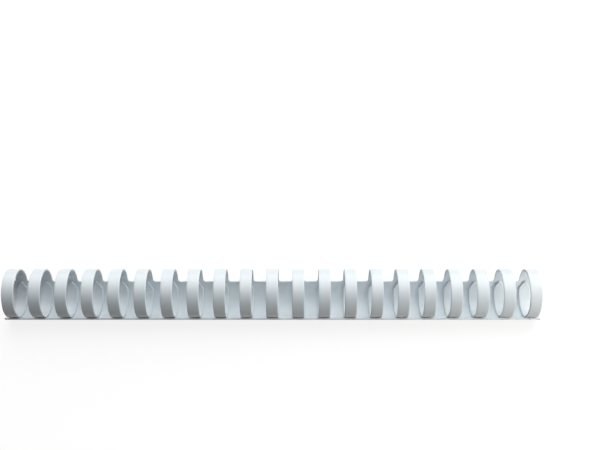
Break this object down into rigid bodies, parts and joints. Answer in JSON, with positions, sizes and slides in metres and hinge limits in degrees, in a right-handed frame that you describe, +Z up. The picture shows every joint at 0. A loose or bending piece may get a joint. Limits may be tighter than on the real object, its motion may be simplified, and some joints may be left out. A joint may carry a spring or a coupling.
{
  "type": "plastic binding comb",
  "caption": "Curved plastic spine with a row of flat fingers that curl round into rings and tuck in behind the spine, for binding punched sheets.",
  "frame": {"origin": "centre of the comb's box, on the surface that the spine lies on", "axes": "+X along the spine, -Y towards the edge that the tongues tuck in behind, +Z up with the comb lying balanced on its spine"},
  "size_m": [0.297, 0.0268, 0.0276],
  "materials": {
    "comb_plastic": "satin white PVC"
  },
  "bodies": {
    "back": {"spine": "comb_plastic", "ring_roots": "comb_plastic"},
    "crown_01": {"ring_01_crown": "comb_plastic"},
    "tongue_01": {"ring_01_tongue": "comb_plastic"},
    "crown_02": {"ring_02_crown": "comb_plastic"},
    "tongue_02": {"ring_02_tongue": "comb_plastic"},
    "crown_03": {"ring_03_crown": "comb_plastic"},
    "tongue_03": {"ring_03_tongue": "comb_plastic"},
    "crown_04": {"ring_04_crown": "comb_plastic"},
    "tongue_04": {"ring_04_tongue": "comb_plastic"},
    "crown_05": {"ring_05_crown": "comb_plastic"},
    "tongue_05": {"ring_05_tongue": "comb_plastic"},
    "crown_06": {"ring_06_crown": "comb_plastic"},
    "tongue_06": {"ring_06_tongue": "comb_plastic"},
    "crown_07": {"ring_07_crown": "comb_plastic"},
    "tongue_07": {"ring_07_tongue": "comb_plastic"},
    "crown_08": {"ring_08_crown": "comb_plastic"},
    "tongue_08": {"ring_08_tongue": "comb_plastic"},
    "crown_09": {"ring_09_crown": "comb_plastic"},
    "tongue_09": {"ring_09_tongue": "comb_plastic"},
    "crown_10": {"ring_10_crown": "comb_plastic"},
    "tongue_10": {"ring_10_tongue": "comb_plastic"},
    "crown_11": {"ring_11_crown": "comb_plastic"},
    "tongue_11": {"ring_11_tongue": "comb_plastic"},
    "crown_12": {"ring_12_crown": "comb_plastic"},
    "tongue_12": {"ring_12_tongue": "comb_plastic"},
    "crown_13": {"ring_13_crown": "comb_plastic"},
    "tongue_13": {"ring_13_tongue": "comb_plastic"},
    "crown_14": {"ring_14_crown": "comb_plastic"},
    "tongue_14": {"ring_14_tongue": "comb_plastic"},
    "crown_15": {"ring_15_crown": "comb_plastic"},
    "tongue_15": {"ring_15_tongue": "comb_plastic"},
    "crown_16": {"ring_16_crown": "comb_plastic"},
    "tongue_16": {"ring_16_tongue": "comb_plastic"},
    "crown_17": {"ring_17_crown": "comb_plastic"},
    "tongue_17": {"ring_17_tongue": "comb_plastic"},
    "crown_18": {"ring_18_crown": "comb_plastic"},
    "tongue_18": {"ring_18_tongue": "comb_plastic"},
    "crown_19": {"ring_19_crown": "comb_plastic"},
    "tongue_19": {"ring_19_tongue": "comb_plastic"},
    "crown_20": {"ring_20_crown": "comb_plastic"},
    "tongue_20": {"ring_20_tongue": "comb_plastic"},
    "crown_21": {"ring_21_crown": "comb_plastic"},
    "tongue_21": {"ring_21_tongue": "comb_plastic"}
  },
  "joints": [
    {"name": "ring_01_uncurl", "type": "hinge", "parent": "back", "child": "crown_01", "pos_m": [-0.14288, 0.01334, 0.01294], "axis": [-1, 0, 0], "range_deg": [0, 60], "stiffness_Nm_per_rad": 0.04},
    {"name": "ring_01_crown_flex", "type": "hinge", "parent": "crown_01", "child": "tongue_01", "pos_m": [-0.14288, 0.00547, 0.02645], "axis": [-1, 0, 0], "range_deg": [0, 60], "stiffness_Nm_per_rad": 0.04},
    {"name": "ring_02_uncurl", "type": "hinge", "parent": "back", "child": "crown_02", "pos_m": [-0.12859, 0.01334, 0.01294], "axis": [-1, 0, 0], "range_deg": [0, 60], "stiffness_Nm_per_rad": 0.04},
    {"name": "ring_02_crown_flex", "type": "hinge", "parent": "crown_02", "child": "tongue_02", "pos_m": [-0.12859, 0.00547, 0.02645], "axis": [-1, 0, 0], "range_deg": [0, 60], "stiffness_Nm_per_rad": 0.04},
    {"name": "ring_03_uncurl", "type": "hinge", "parent": "back", "child": "crown_03", "pos_m": [-0.1143, 0.01334, 0.01294], "axis": [-1, 0, 0], "range_deg": [0, 60], "stiffness_Nm_per_rad": 0.04},
    {"name": "ring_03_crown_flex", "type": "hinge", "parent": "crown_03", "child": "tongue_03", "pos_m": [-0.1143, 0.00547, 0.02645], "axis": [-1, 0, 0], "range_deg": [0, 60], "stiffness_Nm_per_rad": 0.04},
    {"name": "ring_04_uncurl", "type": "hinge", "parent": "back", "child": "crown_04", "pos_m": [-0.10001, 0.01334, 0.01294], "axis": [-1, 0, 0], "range_deg": [0, 60], "stiffness_Nm_per_rad": 0.04},
    {"name": "ring_04_crown_flex", "type": "hinge", "parent": "crown_04", "child": "tongue_04", "pos_m": [-0.10001, 0.00547, 0.02645], "axis": [-1, 0, 0], "range_deg": [0, 60], "stiffness_Nm_per_rad": 0.04},
    {"name": "ring_05_uncurl", "type": "hinge", "parent": "back", "child": "crown_05", "pos_m": [-0.08572, 0.01334, 0.01294], "axis": [-1, 0, 0], "range_deg": [0, 60], "stiffness_Nm_per_rad": 0.04},
    {"name": "ring_05_crown_flex", "type": "hinge", "parent": "crown_05", "child": "tongue_05", "pos_m": [-0.08572, 0.00547, 0.02645], "axis": [-1, 0, 0], "range_deg": [0, 60], "stiffness_Nm_per_rad": 0.04},
    {"name": "ring_06_uncurl", "type": "hinge", "parent": "back", "child": "crown_06", "pos_m": [-0.07144, 0.01334, 0.01294], "axis": [-1, 0, 0], "range_deg": [0, 60], "stiffness_Nm_per_rad": 0.04},
    {"name": "ring_06_crown_flex", "type": "hinge", "parent": "crown_06", "child": "tongue_06", "pos_m": [-0.07144, 0.00547, 0.02645], "axis": [-1, 0, 0], "range_deg": [0, 60], "stiffness_Nm_per_rad": 0.04},
    {"name": "ring_07_uncurl", "type": "hinge", "parent": "back", "child": "crown_07", "pos_m": [-0.05715, 0.01334, 0.01294], "axis": [-1, 0, 0], "range_deg": [0, 60], "stiffness_Nm_per_rad": 0.04},
    {"name": "ring_07_crown_flex", "type": "hinge", "parent": "crown_07", "child": "tongue_07", "pos_m": [-0.05715, 0.00547, 0.02645], "axis": [-1, 0, 0], "range_deg": [0, 60], "stiffness_Nm_per_rad": 0.04},
    {"name": "ring_08_uncurl", "type": "hinge", "parent": "back", "child": "crown_08", "pos_m": [-0.04286, 0.01334, 0.01294], "axis": [-1, 0, 0], "range_deg": [0, 60], "stiffness_Nm_per_rad": 0.04},
    {"name": "ring_08_crown_flex", "type": "hinge", "parent": "crown_08", "child": "tongue_08", "pos_m": [-0.04286, 0.00547, 0.02645], "axis": [-1, 0, 0], "range_deg": [0, 60], "stiffness_Nm_per_rad": 0.04},
    {"name": "ring_09_uncurl", "type": "hinge", "parent": "back", "child": "crown_09", "pos_m": [-0.02857, 0.01334, 0.01294], "axis": [-1, 0, 0], "range_deg": [0, 60], "stiffness_Nm_per_rad": 0.04},
    {"name": "ring_09_crown_flex", "type": "hinge", "parent": "crown_09", "child": "tongue_09", "pos_m": [-0.02857, 0.00547, 0.02645], "axis": [-1, 0, 0], "range_deg": [0, 60], "stiffness_Nm_per_rad": 0.04},
    {"name": "ring_10_uncurl", "type": "hinge", "parent": "back", "child": "crown_10", "pos_m": [-0.01429, 0.01334, 0.01294], "axis": [-1, 0, 0], "range_deg": [0, 60], "stiffness_Nm_per_rad": 0.04},
    {"name": "ring_10_crown_flex", "type": "hinge", "parent": "crown_10", "child": "tongue_10", "pos_m": [-0.01429, 0.00547, 0.02645], "axis": [-1, 0, 0], "range_deg": [0, 60], "stiffness_Nm_per_rad": 0.04},
    {"name": "ring_11_uncurl", "type": "hinge", "parent": "back", "child": "crown_11", "pos_m": [0, 0.01334, 0.01294], "axis": [-1, 0, 0], "range_deg": [0, 60], "stiffness_Nm_per_rad": 0.04},
    {"name": "ring_11_crown_flex", "type": "hinge", "parent": "crown_11", "child": "tongue_11", "pos_m": [0, 0.00547, 0.02645], "axis": [-1, 0, 0], "range_deg": [0, 60], "stiffness_Nm_per_rad": 0.04},
    {"name": "ring_12_uncurl", "type": "hinge", "parent": "back", "child": "crown_12", "pos_m": [0.01429, 0.01334, 0.01294], "axis": [-1, 0, 0], "range_deg": [0, 60], "stiffness_Nm_per_rad": 0.04},
    {"name": "ring_12_crown_flex", "type": "hinge", "parent": "crown_12", "child": "tongue_12", "pos_m": [0.01429, 0.00547, 0.02645], "axis": [-1, 0, 0], "range_deg": [0, 60], "stiffness_Nm_per_rad": 0.04},
    {"name": "ring_13_uncurl", "type": "hinge", "parent": "back", "child": "crown_13", "pos_m": [0.02857, 0.01334, 0.01294], "axis": [-1, 0, 0], "range_deg": [0, 60], "stiffness_Nm_per_rad": 0.04},
    {"name": "ring_13_crown_flex", "type": "hinge", "parent": "crown_13", "child": "tongue_13", "pos_m": [0.02857, 0.00547, 0.02645], "axis": [-1, 0, 0], "range_deg": [0, 60], "stiffness_Nm_per_rad": 0.04},
    {"name": "ring_14_uncurl", "type": "hinge", "parent": "back", "child": "crown_14", "pos_m": [0.04286, 0.01334, 0.01294], "axis": [-1, 0, 0], "range_deg": [0, 60], "stiffness_Nm_per_rad": 0.04},
    {"name": "ring_14_crown_flex", "type": "hinge", "parent": "crown_14", "child": "tongue_14", "pos_m": [0.04286, 0.00547, 0.02645], "axis": [-1, 0, 0], "range_deg": [0, 60], "stiffness_Nm_per_rad": 0.04},
    {"name": "ring_15_uncurl", "type": "hinge", "parent": "back", "child": "crown_15", "pos_m": [0.05715, 0.01334, 0.01294], "axis": [-1, 0, 0], "range_deg": [0, 60], "stiffness_Nm_per_rad": 0.04},
    {"name": "ring_15_crown_flex", "type": "hinge", "parent": "crown_15", "child": "tongue_15", "pos_m": [0.05715, 0.00547, 0.02645], "axis": [-1, 0, 0], "range_deg": [0, 60], "stiffness_Nm_per_rad": 0.04},
    {"name": "ring_16_uncurl", "type": "hinge", "parent": "back", "child": "crown_16", "pos_m": [0.07144, 0.01334, 0.01294], "axis": [-1, 0, 0], "range_deg": [0, 60], "stiffness_Nm_per_rad": 0.04},
    {"name": "ring_16_crown_flex", "type": "hinge", "parent": "crown_16", "child": "tongue_16", "pos_m": [0.07144, 0.00547, 0.02645], "axis": [-1, 0, 0], "range_deg": [0, 60], "stiffness_Nm_per_rad": 0.04},
    {"name": "ring_17_uncurl", "type": "hinge", "parent": "back", "child": "crown_17", "pos_m": [0.08572, 0.01334, 0.01294], "axis": [-1, 0, 0], "range_deg": [0, 60], "stiffness_Nm_per_rad": 0.04},
    {"name": "ring_17_crown_flex", "type": "hinge", "parent": "crown_17", "child": "tongue_17", "pos_m": [0.08572, 0.00547, 0.02645], "axis": [-1, 0, 0], "range_deg": [0, 60], "stiffness_Nm_per_rad": 0.04},
    {"name": "ring_18_uncurl", "type": "hinge", "parent": "back", "child": "crown_18", "pos_m": [0.10001, 0.01334, 0.01294], "axis": [-1, 0, 0], "range_deg": [0, 60], "stiffness_Nm_per_rad": 0.04},
    {"name": "ring_18_crown_flex", "type": "hinge", "parent": "crown_18", "child": "tongue_18", "pos_m": [0.10001, 0.00547, 0.02645], "axis": [-1, 0, 0], "range_deg": [0, 60], "stiffness_Nm_per_rad": 0.04},
    {"name": "ring_19_uncurl", "type": "hinge", "parent": "back", "child": "crown_19", "pos_m": [0.1143, 0.01334, 0.01294], "axis": [-1, 0, 0], "range_deg": [0, 60], "stiffness_Nm_per_rad": 0.04},
    {"name": "ring_19_crown_flex", "type": "hinge", "parent": "crown_19", "child": "tongue_19", "pos_m": [0.1143, 0.00547, 0.02645], "axis": [-1, 0, 0], "range_deg": [0, 60], "stiffness_Nm_per_rad": 0.04},
    {"name": "ring_20_uncurl", "type": "hinge", "parent": "back", "child": "crown_20", "pos_m": [0.12859, 0.01334, 0.01294], "axis": [-1, 0, 0], "range_deg": [0, 60], "stiffness_Nm_per_rad": 0.04},
    {"name": "ring_20_crown_flex", "type": "hinge", "parent": "crown_20", "child": "tongue_20", "pos_m": [0.12859, 0.00547, 0.02645], "axis": [-1, 0, 0], "range_deg": [0, 60], "stiffness_Nm_per_rad": 0.04},
    {"name": "ring_21_uncurl", "type": "hinge", "parent": "back", "child": "crown_21", "pos_m": [0.14288, 0.01334, 0.01294], "axis": [-1, 0, 0], "range_deg": [0, 60], "stiffness_Nm_per_rad": 0.04},
    {"name": "ring_21_crown_flex", "type": "hinge", "parent": "crown_21", "child": "tongue_21", "pos_m": [0.14288, 0.00547, 0.02645], "axis": [-1, 0, 0], "range_deg": [0, 60], "stiffness_Nm_per_rad": 0.04}
  ],
  "couplings": [
    {"joint": "ring_01_crown_flex", "follows": "ring_01_uncurl", "ratio": 1},
    {"joint": "ring_02_crown_flex", "follows": "ring_02_uncurl", "ratio": 1},
    {"joint": "ring_03_crown_flex", "follows": "ring_03_uncurl", "ratio": 1},
    {"joint": "ring_04_crown_flex", "follows": "ring_04_uncurl", "ratio": 1},
    {"joint": "ring_05_crown_flex", "follows": "ring_05_uncurl", "ratio": 1},
    {"joint": "ring_06_crown_flex", "follows": "ring_06_uncurl", "ratio": 1},
    {"joint": "ring_07_crown_flex", "follows": "ring_07_uncurl", "ratio": 1},
    {"joint": "ring_08_crown_flex", "follows": "ring_08_uncurl", "ratio": 1},
    {"joint": "ring_09_crown_flex", "follows": "ring_09_uncurl", "ratio": 1},
    {"joint": "ring_10_crown_flex", "follows": "ring_10_uncurl", "ratio": 1},
    {"joint": "ring_11_crown_flex", "follows": "ring_11_uncurl", "ratio": 1},
    {"joint": "ring_12_crown_flex", "follows": "ring_12_uncurl", "ratio": 1},
    {"joint": "ring_13_crown_flex", "follows": "ring_13_uncurl", "ratio": 1},
    {"joint": "ring_14_crown_flex", "follows": "ring_14_uncurl", "ratio": 1},
    {"joint": "ring_15_crown_flex", "follows": "ring_15_uncurl", "ratio": 1},
    {"joint": "ring_16_crown_flex", "follows": "ring_16_uncurl", "ratio": 1},
    {"joint": "ring_17_crown_flex", "follows": "ring_17_uncurl", "ratio": 1},
    {"joint": "ring_18_crown_flex", "follows": "ring_18_uncurl", "ratio": 1},
    {"joint": "ring_19_crown_flex", "follows": "ring_19_uncurl", "ratio": 1},
    {"joint": "ring_20_crown_flex", "follows": "ring_20_uncurl", "ratio": 1},
    {"joint": "ring_21_crown_flex", "follows": "ring_21_uncurl", "ratio": 1}
  ]
}
